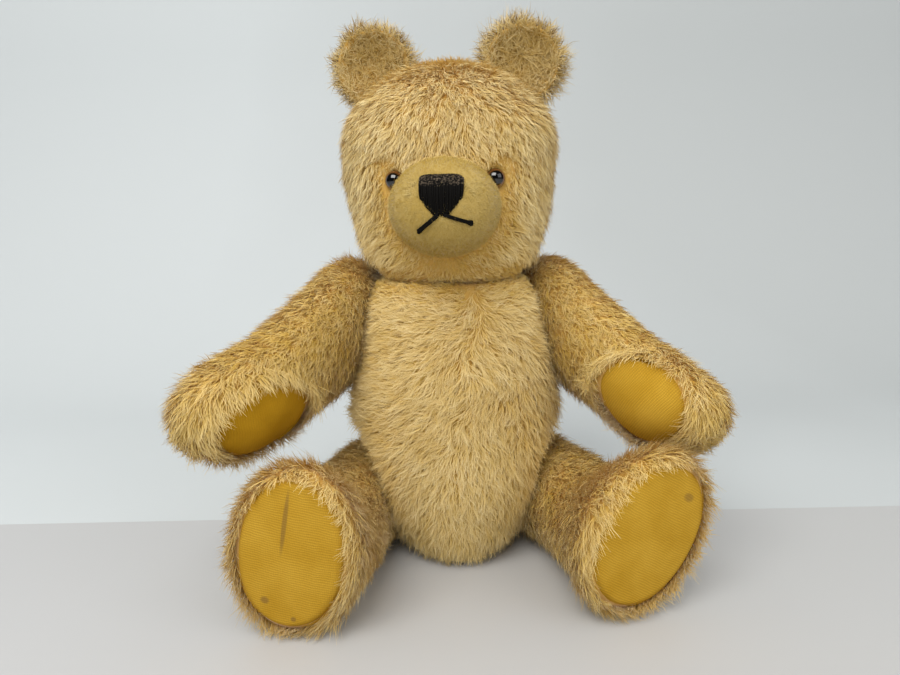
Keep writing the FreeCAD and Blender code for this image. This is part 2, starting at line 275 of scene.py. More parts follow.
def settle(skin, panels, pressure, cover=None):
    """Lets the stuffed skin swell between its seams, but not under a cover sewn onto it."""
    obj = bpy.data.objects.new("settling", skin.copy())
    SCENE.collection.objects.link(obj)
    held = obj.vertex_groups.new(name="held")
    weights = seam_weights(skin, panels, SEAM_REACH)
    if cover is not None:
        gap = distances(tree_of([NODES[cover].data]), vertex_array(skin), COVER_FREE)
        weights = np.maximum(weights, 1.0 - smoothstep(COVER_HOLD, COVER_FREE, gap))
    for index, weight in enumerate(weights):
        held.add([index], float(weight), "REPLACE")
    cloth = obj.modifiers.new("cloth", "CLOTH")
    cloth.point_cache.frame_start = 1
    cloth.point_cache.frame_end = CLOTH_STEPS
    cloth.settings.quality = 4
    cloth.settings.use_pressure = True
    cloth.settings.uniform_pressure_force = pressure
    cloth.settings.effector_weights.gravity = 0.0
    cloth.settings.vertex_group_mass = "held"
    first = SCENE.frame_current
    for step in range(1, CLOTH_STEPS + 1):
        SCENE.frame_set(step)
    graph = bpy.context.evaluated_depsgraph_get()
    settled = bpy.data.meshes.new_from_object(obj.evaluated_get(graph))
    before = vertex_array(skin)
    shift = vertex_array(settled) - before
    size = np.maximum(np.linalg.norm(shift, axis=1, keepdims=True), 1e-9)
    after = before + shift * np.minimum(1.0, CLOTH_SWELL / size)
    after[:, 2] = np.maximum(after[:, 2], np.minimum(before[:, 2], 0.0))
    skin.vertices.foreach_set("co", after.reshape(-1).astype(np.float32))
    skin.update()
    spare = obj.data
    bpy.data.objects.remove(obj)
    bpy.data.meshes.remove(spare)
    bpy.data.meshes.remove(settled)
    SCENE.frame_set(first)


def seam_weights(mesh, panels, reach):
    """1 on a seam between two panels, falling to 0 at reach from it."""
    points = vertex_array(mesh)
    gaps = []
    for panel in panels:
        gaps.append(distances(tree_of([NODES[panel].data]), points, 4.0 * reach))
    second = np.sort(np.array(gaps), axis=0)[1]
    return 1.0 - smoothstep(0.3 * reach, reach, second)


# ---------------------------------------------------------------- materials

def new_material(name):
    """An empty node material with its Principled shader."""
    material = bpy.data.materials.new(name)
    material.use_nodes = True
    tree = material.node_tree
    shader = tree.nodes["Principled BSDF"]
    return material, tree, shader


def ramp(tree, stops):
    node = tree.nodes.new("ShaderNodeValToRGB")
    elements = node.color_ramp.elements
    while len(elements) > 1:
        elements.remove(elements[-1])
    elements[0].position = stops[0][0]
    elements[0].color = (*stops[0][1], 1.0)
    for place, colour in stops[1:]:
        element = elements.new(place)
        element.color = (*colour, 1.0)
    return node


def noise(tree, scale, detail=4.0, vector=None):
    node = tree.nodes.new("ShaderNodeTexNoise")
    node.inputs["Scale"].default_value = scale
    node.inputs["Detail"].default_value = detail
    if vector is not None:
        tree.links.new(vector, node.inputs["Vector"])
    return node


def maths(tree, operation, a, b=None, c=None):
    node = tree.nodes.new("ShaderNodeMath")
    node.operation = operation
    for socket, value in zip(node.inputs, (a, b, c)):
        if value is None:
            continue
        if isinstance(value, (int, float)):
            socket.default_value = value
        else:
            tree.links.new(value, socket)
    return node.outputs[0]


def mix_colour(tree, factor, a, b, blend="MIX"):
    node = tree.nodes.new("ShaderNodeMix")
    node.data_type = "RGBA"
    node.blend_type = blend
    for socket, value in ((node.inputs[0], factor), (node.inputs[6], a), (node.inputs[7], b)):
        if isinstance(value, (int, float)):
            socket.default_value = value
        elif isinstance(value, tuple):
            socket.default_value = (*value, 1.0)
        else:
            tree.links.new(value, socket)
    return node.outputs[2]


def object_place(tree):
    return tree.nodes.new("ShaderNodeTexCoord").outputs["Object"]


def bump(tree, shader, height, strength, distance):
    node = tree.nodes.new("ShaderNodeBump")
    node.inputs["Strength"].default_value = strength
    node.inputs["Distance"].default_value = distance
    tree.links.new(height, node.inputs["Height"])
    tree.links.new(node.outputs["Normal"], shader.inputs["Normal"])


def fur_material(name, dark, light):
    """Mohair: dark and light each give the root, middle and tip colour of a strand."""
    material, tree, shader = new_material(name)
    uv = tree.nodes.new("ShaderNodeUVMap")
    uv.uv_map = "OFBake"
    split = tree.nodes.new("ShaderNodeSeparateXYZ")
    tree.links.new(uv.outputs["UV"], split.inputs[0])
    places = (0.0, 0.4, 1.0)
    low = ramp(tree, list(zip(places, dark)))
    high = ramp(tree, list(zip(places, light)))
    tree.links.new(split.outputs["Y"], low.inputs[0])
    tree.links.new(split.outputs["Y"], high.inputs[0])
    colour = mix_colour(tree, split.outputs["X"], low.outputs["Color"], high.outputs["Color"])
    tree.links.new(colour, shader.inputs["Base Color"])
    shader.inputs["Roughness"].default_value = 0.5
    shader.inputs["Specular IOR Level"].default_value = 0.22
    shader.inputs["Sheen Weight"].default_value = 0.45
    shader.inputs["Sheen Roughness"].default_value = 0.35
    shader.inputs["Sheen Tint"].default_value = (1.0, 0.86, 0.58, 1.0)
    return material


def backing_material():
    """The woven cloth between the strands."""
    material, tree, shader = new_material("mohair_backing")
    place = object_place(tree)
    patches = noise(tree, 60.0, 5.0, place)
    colour = ramp(tree, [(0.3, (0.50, 0.28, 0.045)), (0.7, (0.60, 0.36, 0.08))])
    tree.links.new(patches.outputs["Fac"], colour.inputs[0])
    tree.links.new(colour.outputs["Color"], shader.inputs["Base Color"])
    weave = noise(tree, 900.0, 2.0, place)
    bump(tree, shader, weave.outputs["Fac"], 0.5, 0.0004)
    shader.inputs["Roughness"].default_value = 0.9
    shader.inputs["Sheen Weight"].default_value = 0.3
    return material


def plush_material():
    """The base cloth of the short pile muzzle."""
    material, tree, shader = new_material("plush_base")
    place = object_place(tree)
    patches = noise(tree, 90.0, 4.0, place)
    colour = ramp(tree, [(0.3, (0.42, 0.28, 0.05)), (0.7, (0.50, 0.35, 0.09))])
    tree.links.new(patches.outputs["Fac"], colour.inputs[0])
    tree.links.new(colour.outputs["Color"], shader.inputs["Base Color"])
    nap = noise(tree, 1500.0, 2.0, place)
    bump(tree, shader, nap.outputs["Fac"], 0.6, 0.0004)
    shader.inputs["Roughness"].default_value = 0.85
    shader.inputs["Sheen Weight"].default_value = 0.4
    return material


def plain_pattern(name, low, high, scale, roughness, metallic=0.0, relief=0.0002):
    """A mottled hard or fibrous surface for the parts inside."""
    material, tree, shader = new_material(name)
    place = object_place(tree)
    patches = noise(tree, scale, 6.0, place)
    colour = ramp(tree, [(0.3, low), (0.7, high)])
    tree.links.new(patches.outputs["Fac"], colour.inputs[0])
    tree.links.new(colour.outputs["Color"], shader.inputs["Base Color"])
    bump(tree, shader, patches.outputs["Fac"], 0.4, relief)
    shader.inputs["Roughness"].default_value = roughness
    shader.inputs["Metallic"].default_value = metallic
    return material


def glass_material(name, centre, gaze):
    """Black glass with a brown rim, seen from the gaze side."""
    material, tree, shader = new_material(name)
    place = object_place(tree)
    shift = tree.nodes.new("ShaderNodeVectorMath")
    shift.operation = "SUBTRACT"
    tree.links.new(place, shift.inputs[0])
    shift.inputs[1].default_value = tuple(centre)
    straight = tree.nodes.new("ShaderNodeVectorMath")
    straight.operation = "NORMALIZE"
    tree.links.new(shift.outputs[0], straight.inputs[0])
    facing = tree.nodes.new("ShaderNodeVectorMath")
    facing.operation = "DOT_PRODUCT"
    tree.links.new(straight.outputs[0], facing.inputs[0])
    facing.inputs[1].default_value = tuple(gaze)
    colour = ramp(tree, [(0.35, (0.10, 0.035, 0.008)), (0.62, (0.16, 0.06, 0.014)),
                         (0.74, (0.012, 0.006, 0.003)), (0.8, (0.001, 0.001, 0.001))])
    tree.links.new(facing.outputs["Value"], colour.inputs[0])
    tree.links.new(colour.outputs["Color"], shader.inputs["Base Color"])
    shader.inputs["Roughness"].default_value = 0.06
    shader.inputs["Coat Weight"].default_value = 1.0
    shader.inputs["Coat Roughness"].default_value = 0.04
    return material


def thread_material():
    """Black embroidery thread with a slight grey shine, painted onto the upper part of the nose as a painted
    sheen.
    """
    material, tree, shader = new_material("black_thread")
    place = object_place(tree)
    fibres = noise(tree, 1100.0, 3.0, place)
    colour = ramp(tree, [(0.45, (0.003, 0.0025, 0.002)), (0.7, (0.13, 0.10, 0.07))])
    split = tree.nodes.new("ShaderNodeSeparateXYZ")
    tree.links.new(place, split.inputs[0])
    # Painted highlight: towards the top of the nose the thread colour is mixed with grey-brown, where light
    # falls on the dome.
    top_sheen_mask = tree.nodes.new("ShaderNodeMapRange")
    top_sheen_mask.inputs["From Min"].default_value = NOSE_TOP_Z - 11.0 * MM
    top_sheen_mask.inputs["From Max"].default_value = NOSE_TOP_Z - 4.0 * MM
    tree.links.new(split.outputs["Z"], top_sheen_mask.inputs["Value"])
    painted_shine = maths(tree, "MULTIPLY", fibres.outputs["Fac"], top_sheen_mask.outputs["Result"])
    tree.links.new(painted_shine, colour.inputs[0])
    tree.links.new(colour.outputs["Color"], shader.inputs["Base Color"])
    bump(tree, shader, fibres.outputs["Fac"], 0.6, 0.0003)
    shader.inputs["Roughness"].default_value = 0.7
    shader.inputs["Specular IOR Level"].default_value = 0.12
    return material


def stain(tree, u, v, at, radii, softness):
    """1 inside an oval mark on a pad, 0 outside; at and radii in metres."""
    du = maths(tree, "DIVIDE", maths(tree, "SUBTRACT", u, at[0]), radii[0])
    dv = maths(tree, "DIVIDE", maths(tree, "SUBTRACT", v, at[1]), radii[1])
    square = maths(tree, "ADD", maths(tree, "MULTIPLY", du, du), maths(tree, "MULTIPLY", dv, dv))
    node = tree.nodes.new("ShaderNodeMapRange")
    node.interpolation_type = "SMOOTHSTEP"
    node.inputs["From Min"].default_value = 1.0
    node.inputs["From Max"].default_value = max(0.0, 1.0 - softness)
    tree.links.new(square, node.inputs["Value"])
    return node.outputs["Result"]


def felt_material(name, low, high, marks, depth):
    """Knitted ochre felt; depth sets both the bump of its rows and the painted shade darkening the colour in
    their grooves. Marks are (place, radii, softness, strength, colour).
    """
    material, tree, shader = new_material(name)
    uv = tree.nodes.new("ShaderNodeUVMap")
    uv.uv_map = "PadMap"
    split = tree.nodes.new("ShaderNodeSeparateXYZ")
    tree.links.new(uv.outputs["UV"], split.inputs[0])
    u, v = split.outputs["X"], split.outputs["Y"]
    wobble = noise(tree, 90.0, 3.0, uv.outputs["UV"])
    drift = maths(tree, "MULTIPLY", maths(tree, "SUBTRACT", wobble.outputs["Fac"], 0.5), 0.0022)
    row = maths(tree, "MULTIPLY", maths(tree, "ADD", v, drift), 2.0 * math.pi / KNIT_ROW)
    stitch = maths(tree, "MULTIPLY", maths(tree, "ADD", u, drift), 2.0 * math.pi / KNIT_STITCH)
    rows = maths(tree, "MULTIPLY_ADD", maths(tree, "SINE", row), 0.5, 0.5)
    stitches = maths(tree, "MULTIPLY_ADD", maths(tree, "SINE", stitch), 0.5, 0.5)
    knit = maths(tree, "ADD", maths(tree, "MULTIPLY", rows, 0.7), maths(tree, "MULTIPLY", stitches, 0.3))
    patches = noise(tree, 45.0, 5.0, uv.outputs["UV"])
    fuzz = noise(tree, 1600.0, 2.0, uv.outputs["UV"])
    base = ramp(tree, [(0.3, low), (0.7, high)])
    tree.links.new(patches.outputs["Fac"], base.inputs[0])
    # Painted shade: the felt colour is darkened along the knit grooves, as much as depth gives.
    shade = maths(tree, "MULTIPLY_ADD", knit, depth, 1.04 - depth)
    grain = maths(tree, "MULTIPLY_ADD", fuzz.outputs["Fac"], 0.3, 0.85)
    tone = maths(tree, "MULTIPLY", shade, grain)
    grey = tree.nodes.new("ShaderNodeCombineColor")
    for socket in grey.inputs:
        tree.links.new(tone, socket)
    colour = mix_colour(tree, 1.0, base.outputs["Color"], grey.outputs[0], "MULTIPLY")
    for at, radii, softness, strength, tint in marks:
        amount = maths(tree, "MULTIPLY", stain(tree, u, v, at, radii, softness), strength)
        colour = mix_colour(tree, amount, colour, tint)
    tree.links.new(colour, shader.inputs["Base Color"])
    height = maths(tree, "ADD", knit, maths(tree, "MULTIPLY", fuzz.outputs["Fac"], 0.6))
    bump(tree, shader, height, 1.3 * depth, 0.0005)
    shader.inputs["Roughness"].default_value = 0.92
    shader.inputs["Specular IOR Level"].default_value = 0.08
    return material


# ---------------------------------------------------------------- fur

def scatter(mesh, per_mm2, rng):
    """Random roots over a mesh with their smooth normals."""
    points = vertex_array(mesh)
    normals = normal_array(mesh)
    tri = triangle_array(mesh)
    areas = triangle_areas(points, tri)
    count = int(areas.sum() / (MM * MM) * per_mm2)
    chosen = rng.choice(len(tri), count, p=areas / areas.sum())
    r1 = np.sqrt(rng.random((count, 1)))
    r2 = rng.random((count, 1))
    w0, w1, w2 = 1.0 - r1, r1 * (1.0 - r2), r1 * r2
    t = tri[chosen]
    roots = w0 * points[t[:, 0]] + w1 * points[t[:, 1]] + w2 * points[t[:, 2]]
    up = unit(w0 * normals[t[:, 0]] + w1 * normals[t[:, 1]] + w2 * normals[t[:, 2]])
    return roots, up


def nearest_seed(roots, seeds):
    """Index of the nearest seed for each root."""
    tree = KDTree(len(seeds))
    for i, p in enumerate(seeds):
        tree.insert(p, i)
    tree.balance()
    return np.array([tree.find(p)[1] for p in roots])


def fur_strands(roots, up, flow, length, look, rng):
    """Centre lines, width directions and steps of strands that gather into locks."""
    count = len(roots)
    fine = roots[rng.random(count) < look["per_lock"]]
    coarse = roots[rng.random(count) < look["per_tuft"]]
    lock = nearest_seed(roots, fine)
    tuft = nearest_seed(roots, coarse)
    swing = (rng.normal(0.0, look["swing"], len(fine))[lock]
             + rng.normal(0.0, look["sweep"], len(coarse))[tuft]
             + rng.normal(0.0, look["stray"], count))[:, None]
    across = np.cross(up, flow)
    along = flow * np.cos(swing) + across * np.sin(swing)
    across = np.cross(up, along)
    reach = length * (1.0 + 0.16 * rng.normal(size=len(fine))[lock]) * rng.uniform(0.7, 1.12, count)
    reach = np.maximum(reach, 0.3 * length)[:, None]
    root_lean = look["root_lean"] + rng.normal(0.0, 0.12, count)[:, None]
    tip_lean = (look["tip_lean"] + rng.normal(0.0, 0.22, len(fine))[lock]
                + rng.normal(0.0, 0.1, count))[:, None]
    phase = rng.uniform(0.0, 2.0 * math.pi, len(fine))[lock][:, None]
    curl = look["curl"] * rng.uniform(0.3, 1.5, len(fine))[lock][:, None]
    gather = fine[lock] - roots
    gather -= up * dot(gather, up)
    steps = FUR_STEPS
    line = [roots - up * ROOT_SINK]
    for i in range(steps):
        t = (i + 0.5) / steps
        lean = root_lean + (tip_lean - root_lean) * t
        heading = up * np.cos(lean) + along * np.sin(lean)
        heading[:, 2] -= look["droop"] * t
        line.append(line[-1] + unit(heading) * reach / steps)
    line = np.stack(line, axis=1)
    for i in range(1, steps + 1):
        t = i / steps
        line[:, i] += gather * look["gather"] * t ** 1.2
        line[:, i] += across * curl * np.sin(phase + 4.6 * t)
        line[:, i] -= across * curl * np.sin(phase) * (1.0 - t)
    roll = rng.normal(0.0, 0.55, count)[:, None]
    wide = unit(across * np.cos(roll) + up * np.sin(roll))
    return line, wide, lock, tuft, len(fine), len(coarse)


def fur_meshes(name, line, wide, up, width, shade):
    """Ribbon meshes for the strands, split so that none is too large."""
    steps = line.shape[1] - 1
    meshes = []
    for start in range(0, len(line), FUR_PIECE_LIMIT):
        part = slice(start, start + FUR_PIECE_LIMIT)
        rows, side, normal, tone = line[part], wide[part], up[part], shade[part]
        count = len(rows)
        t = np.linspace(0.0, 1.0, steps + 1)
        taper = (1.0 - 0.86 * t ** 1.6)[None, :, None]
        half = side[:, None, :] * (0.5 * width[part][:, None, None] * taper)
        points = np.stack([rows - half, rows + half], axis=2)
        heading = np.gradient(rows, axis=1)
        facing = unit(np.cross(heading, side[:, None, :]))
        facing *= np.where(dot(facing, normal[:, None, :]) < 0.0, -1.0, 1.0)
        soft = unit(0.35 * facing + 0.8 * normal[:, None, :])
        normals = np.repeat(soft[:, :, None, :], 2, axis=2)
        base = (np.arange(count) * 2 * (steps + 1))[:, None, None]
        first = (2 * np.arange(steps))[None, :, None]
        corner = np.array([1, 0, 2, 3])[None, None, :]
        loops = (base + first + corner).reshape(-1)
        mesh = bpy.data.meshes.new(f"{name}_{len(meshes)}")
        mesh.vertices.add(count * 2 * (steps + 1))
        mesh.vertices.foreach_set("co", points.reshape(-1).astype(np.float32))
        mesh.loops.add(len(loops))
        mesh.loops.foreach_set("vertex_index", loops.astype(np.int32))
        mesh.polygons.add(count * steps)
        mesh.polygons.foreach_set("loop_start", np.arange(0, len(loops), 4, dtype=np.int32))
        mesh.update(calc_edges=True)
        shade_smooth(mesh)
        layer = mesh.uv_layers.new(name="OFBake")
        u = np.stack([tone - CARD_UV_HALF, tone + CARD_UV_HALF], axis=1)
        u = np.repeat(u[:, None, :], steps + 1, axis=1)
        v = np.broadcast_to(t[None, :, None] * 0.98 + 0.01, u.shape)
        coords = np.stack([u, v], axis=-1).reshape(-1, 2)
        layer.data.foreach_set("uv", coords[loops].reshape(-1).astype(np.float32))
        mesh.normals_split_custom_set_from_vertices(normals.reshape(-1, 3).tolist())
        meshes.append(mesh)
    return meshes


PLAIN_COAT = {
    "per_lock": 0.30,
    "per_tuft": 0.03,
    "swing": 0.28,
    "sweep": 0.22,
    "stray": 0.17,
    "root_lean": 0.72,
    "tip_lean": 1.38,
    "curl": 1.00 * MM,
    "gather": 0.46,
    "droop": 0.08,
}


def grow(name, skin, body, material, fields, look=None, density=1.0, width=1.0, tone=0.5, seed=0):
    """Grows fur on a skin mesh. fields(roots, up) gives the flow, length, keep share and tone shift."""
    rng = np.random.default_rng(SEED + seed)
    coat = dict(PLAIN_COAT)
    coat.update(look or {})
    roots, up = scatter(skin, FUR_PER_MM2 * density, rng)
    flow, length, keep, shift = fields(roots, up)
    kept = rng.random(len(roots)) < keep
    roots, up, flow, length, shift = roots[kept], up[kept], flow[kept], length[kept], shift[kept]
    flow = flow + 0.02 * rng.normal(size=flow.shape)
    flow = unit(flow - up * dot(flow, up))
    line, wide, lock, tuft, locks, tufts = fur_strands(roots, up, flow, length, coat, rng)
    floor = FLOOR_CLEAR + rng.uniform(0.0, 1.6 * MM, len(roots))
    line[..., 2] = np.maximum(line[..., 2], floor[:, None])
    shade = tone + shift + 0.10 * ripple(roots, 60.0 * MM, seed + 5)
    shade = shade + 0.15 * rng.normal(size=locks)[lock] + 0.11 * rng.normal(size=tufts)[tuft]
    shade = np.clip(shade + 0.06 * rng.normal(size=len(roots)), 0.01, 0.99)
    span = FUR_WIDTH * width * rng.uniform(0.75, 1.3, len(roots))
    made = []
    for mesh in fur_meshes(name, line, wide, up, span, shade):
        made.append(add_object(mesh.name, mesh, body, material))
    return made


# ---------------------------------------------------------------- shared materials

GOLD = ((0.58, 0.32, 0.03), (0.64, 0.40, 0.07), (0.72, 0.51, 0.15))
PALE = ((0.70, 0.44, 0.08), (0.83, 0.63, 0.25), (0.92, 0.79, 0.47))
MOHAIR = fur_material("mohair_strands", GOLD, PALE)
WORN = fur_material("worn_mohair",
                    ((0.62, 0.35, 0.035), (0.65, 0.41, 0.06), (0.70, 0.48, 0.11)),
                    ((0.68, 0.41, 0.05), (0.79, 0.57, 0.18), (0.90, 0.74, 0.39)))
DEEP = fur_material("ear_mohair",
                    ((0.33, 0.18, 0.02), (0.42, 0.25, 0.045), (0.52, 0.36, 0.11)),
                    ((0.48, 0.30, 0.06), (0.60, 0.45, 0.17), (0.82, 0.68, 0.40)))
PILE = fur_material("short_pile",
                    ((0.36, 0.21, 0.02), (0.41, 0.26, 0.035), (0.46, 0.31, 0.055)),
                    ((0.50, 0.36, 0.10), (0.58, 0.44, 0.15), (0.64, 0.50, 0.20)))
BACKING = backing_material()
PLUSH = plush_material()
THREAD = thread_material()
FIBREBOARD = plain_pattern("fibreboard", (0.16, 0.10, 0.05), (0.30, 0.20, 0.11), 400.0, 0.85)
CARD = plain_pattern("card", (0.40, 0.32, 0.20), (0.52, 0.43, 0.29), 300.0, 0.9)
STEEL = plain_pattern("steel", (0.42, 0.42, 0.43), (0.60, 0.60, 0.61), 700.0, 0.38, 1.0, 0.00005)
WOOD_WOOL = plain_pattern("wood_wool", (0.45, 0.33, 0.16), (0.72, 0.58, 0.34), 260.0, 0.9, 0.0, 0.0008)


# ---------------------------------------------------------------- torso

# How the fur lies on the chest and belly: x and z in mm, then the heading in degrees
# (0 to the bear's left, 90 up). The hair parts at a whorl high on the chest.
CHEST_LIE = (
    (-44, 153, 188), (-15, 160, 168), (-40, 134, 188), (-18, 124, 218), (-42, 114, 183),
    (-6, 118, 248), (4, 148, 200), (12, 128, 300), (20, 143, 318), (27, 160, 8), (40, 155, 332),
    (42, 140, 315), (32, 125, 262), (23, 106, 236), (0, 106, 217), (-22, 105, 222),
    (-50, 98, 188), (-14, 84, 212), (-42, 80, 208), (12, 84, 288), (27, 92, 238), (44, 92, 280),
    (38, 76, 276), (-26, 69, 226), (8, 66, 282), (50, 70, 288), (0, 40, 268), (-36, 44, 248),
    (34, 44, 284), (0, 12, 270),
)


def torso_flow(p, n):
    """The lie of the fur: guided over the front, down over the back."""
    around = unit(np.cross(UP, n) + 1e-6)
    guides = np.array(CHEST_LIE, float)
    heading = np.radians(guides[:, 2])
    dx = p[:, :1] / MM - guides[None, :, 0]
    dz = p[:, 2:] / MM - guides[None, :, 1]
    pull = 1.0 / (dx * dx + dz * dz + 16.0) ** 1.6
    pull = pull / pull.sum(axis=1, keepdims=True)
    across = (pull * np.cos(heading)).sum(axis=1, keepdims=True)
    rise = (pull * np.sin(heading)).sum(axis=1, keepdims=True)
    front = (1.0 - smoothstep(-15.0 * MM, 25.0 * MM, p[:, 1]))[:, None]
    side = np.clip(p[:, :1] / (30.0 * MM), -1.0, 1.0)
    ahead = around * across + UP * rise
    behind = around * side * 0.25 - UP
    return ahead * front + behind * (1.0 - front)


def torso_fields(seams):
    def fields(p, n):
        flow = torso_flow(p, n)
        length = 10.5 * MM * (1.0 + 0.12 * ripple(p, 30.0 * MM, 3))
        seam = seams(p)
        # Round the neck the fur is shorter, and its colour darker as painted shadow under the head.
        collar_short_and_shaded = smoothstep(158.0 * MM, 170.0 * MM, p[:, 2])
        length = length * (1.0 - 0.5 * collar_short_and_shaded)
        length = length * (1.0 - 0.3 * seam)
        under = smoothstep(6.0 * MM, 0.0, p[:, 2])
        length = length * (1.0 - 0.55 * under)
        shift = 0.10 * smoothstep(40.0 * MM, -50.0 * MM, p[:, 1]) - 0.14 * seam - 0.38 * collar_short_and_shaded
        keep = 1.0 - 0.5 * under
        return flow, length, keep, shift
    return fields


def plane_seam(p, y, reach):
    return 1.0 - smoothstep(0.0, reach, np.abs(p[:, 1] - y))


def build_torso():
    nodes = ("torso_front_panel", "torso_back_panel")
    skin = remeshed("torso_skin", (*nodes, "torso_stuffing"), 3.2 * MM, 3)
    settle(skin, nodes, CLOTH_PRESSURE["torso"])
    obj = add_object("torso_skin", skin, "torso", BACKING)
    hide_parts(*nodes)
    fields = torso_fields(lambda p: plane_seam(p, SEAM_Y, 4.0 * MM))
    grow("torso_fur", skin, "torso", MOHAIR, fields, tone=0.5, seed=1)


# ---------------------------------------------------------------- head

def head_local(v):
    return turn_z(v, -HEAD_TURN)


def head_world(v):
    return turn_z(v, HEAD_TURN)


def head_flow(q, m):
    """Fur runs out from the crown and down, fanning a little on the cheeks."""
    radial = q.copy()
    radial[:, 1] -= 32.0 * MM
    radial[:, 2] = 0.0
    fan = unit(np.cross(UP, m) + 1e-6) * np.clip(q[:, :1] / (30.0 * MM), -1.0, 1.0)
    face = smoothstep(0.0, -30.0 * MM, q[:, 1])[:, None]
    low = smoothstep(235.0 * MM, 200.0 * MM, q[:, 2])[:, None]
    return -UP + 0.9 * unit(radial) + fan * face * (0.35 + 0.75 * low)


def head_fields(muzzle, eyes):
    def fields(p, n):
        q, m = head_local(p), head_local(n)
        flow = head_world(head_flow(q, m))
        length = 9.0 * MM * (1.0 + 0.1 * ripple(p, 40.0 * MM, 8))
        near_muzzle = distances(muzzle, p, 14.0 * MM)
        above = smoothstep(233.0 * MM, 243.0 * MM, q[:, 2])
        beside = (1.0 - smoothstep(3.0 * MM, 12.0 * MM, near_muzzle)) * (1.0 - 0.7 * above)
        length = length * (1.0 - 0.62 * beside)
        shift = -0.42 * beside
        keep = (near_muzzle > 0.7 * MM).astype(float)
        for centre in eyes:
            gap = np.linalg.norm(p - centre, axis=1)
            corner = centre + np.array([math.copysign(5.0, centre[0]), 0.0, 7.0]) * MM
            hollow = 1.0 - smoothstep(5.0 * MM, 14.0 * MM, np.linalg.norm(p - corner, axis=1))
            hollow = np.maximum(hollow, 1.0 - smoothstep(6.5 * MM, 10.0 * MM, gap))
            length = length * (1.0 - 0.7 * hollow)
            shift = shift - 0.4 * hollow
            keep = keep * (gap > 6.3 * MM)
        front = smoothstep(0.0, -35.0 * MM, q[:, 1])
        cheek = smoothstep(225.0 * MM, 195.0 * MM, q[:, 2])
        # Under the chin the fur is shorter, and its colour darker as painted shadow under the head.
        chin_short_and_shaded = smoothstep(192.0 * MM, 180.0 * MM, q[:, 2])
        length = length * (1.0 + 0.2 * cheek) * (1.0 - 0.62 * chin_short_and_shaded)
        shift = shift + 0.08 * front - 0.04 * cheek - 0.4 * chin_short_and_shaded
        return flow, length, keep, shift
    return fields


def ear_fields(centre, base_z):
    def fields(p, n):
        radial = p - centre
        radial[:, 2] += 14.0 * MM
        length = (11.0 if centre[0] > 0.0 else 8.5) * MM * (1.0 + 0.25 * ripple(p, 12.0 * MM, 21))
        inside = smoothstep(0.0, -0.4, head_local(n)[:, 1])
        length = length * (1.0 - 0.15 * inside)
        low = smoothstep(base_z + 14.0 * MM, base_z, p[:, 2])
        rim = smoothstep(13.0 * MM, 21.0 * MM, np.linalg.norm(p - centre, axis=1))
        shift = -0.3 * inside * (0.6 + 0.4 * low) * (1.0 - rim) - 0.1 + 0.35 * rim
        return radial, length, np.ones(len(p)), shift
    return fields


EAR_COAT = {"swing": 0.5, "sweep": 0.45, "stray": 0.22, "root_lean": 0.5, "tip_lean": 1.15,
            "curl": 0.9 * MM, "gather": 0.75, "droop": 0.05, "per_lock": 0.13}
EAR_SEED = {"left": 7, "right": 8}


def build_head():
    panels = ("head_gusset", "head_side_left", "head_side_right")
    skin = remeshed("head_skin", (*panels, "muzzle_inset", "head_stuffing"), 3.0 * MM, 2)
    settle(skin, (*panels, "muzzle_inset"), CLOTH_PRESSURE["head"], "muzzle_inset")
    obj = add_object("head_skin", skin, "head", BACKING)
    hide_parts(*panels)
    eyes = [node_centre("eye_left"), node_centre("eye_right")]
    muzzle = tree_of([NODES["muzzle_inset"].data])
    grow("head_fur", skin, "head", MOHAIR, head_fields(muzzle, eyes),
         look={"swing": 0.24, "sweep": 0.18, "curl": 0.6 * MM, "per_lock": 0.28},
         tone=0.64, seed=2)
    for side in SIDES:
        nodes = (f"ear_back_{side}", f"ear_lining_{side}")
        ear = remeshed(f"ear_skin_{side}", nodes, 1.8 * MM, 3)
        piece = add_object(f"ear_skin_{side}", ear, "head", BACKING)
        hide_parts(*nodes)
        points = vertex_array(ear)
        grow(f"ear_fur_{side}", ear, "head", DEEP,
             ear_fields(points.mean(axis=0), points[:, 2].min()),
             look=EAR_COAT, density=1.15, tone=0.45, seed=EAR_SEED[side])


# ---------------------------------------------------------------- muzzle, nose and mouth

def muzzle_fields(nose):
    def fields(p, n):
        flow = p - nose
        q = head_local(p)
        length = 2.1 * MM * np.ones(len(p))
        shift = -0.28 * smoothstep(222.0 * MM, 236.0 * MM, q[:, 2])
        shift = shift - 0.32 * smoothstep(210.0 * MM, 194.0 * MM, q[:, 2])
        shift = shift - 0.25 * smoothstep(14.0 * MM, 26.0 * MM, np.abs(q[:, 0]))
        tuft = np.hypot(np.abs(q[:, 0]) - 15.0 * MM, q[:, 2] - 224.0 * MM)
        beside = 1.0 - smoothstep(2.0 * MM, 6.0 * MM, tuft)
        shift = shift + 0.4 * beside
        length = length * (1.0 + 0.8 * beside)
        keep = (head_local(n)[:, 1] < 0.35).astype(float)
        return flow, length, keep, shift
    return fields


def tube(points, radii, sides):
    """Points and faces of a round thread along a line."""
    points = np.array(points)
    heading = unit(np.gradient(points, axis=0))
    spare = np.cross(heading, np.array([0.3, 1.0, 0.2]))
    first = unit(spare)
    second = np.cross(heading, first)
    rings = []
    for k in range(sides):
        angle = 2.0 * math.pi * k / sides
        rings.append(points + radii[:, None] * (first * math.cos(angle) + second * math.sin(angle)))
    verts = np.stack(rings, axis=1).reshape(-1, 3)
    faces = []
    for i in range(len(points) - 1):
        for k in range(sides):
            j = (k + 1) % sides
            faces.append((i * sides + k, i * sides + j, (i + 1) * sides + j, (i + 1) * sides + k))
    faces.append(tuple(range(sides))[::-1])
    last = (len(points) - 1) * sides
    faces.append(tuple(range(last, last + sides)))
    return verts, faces


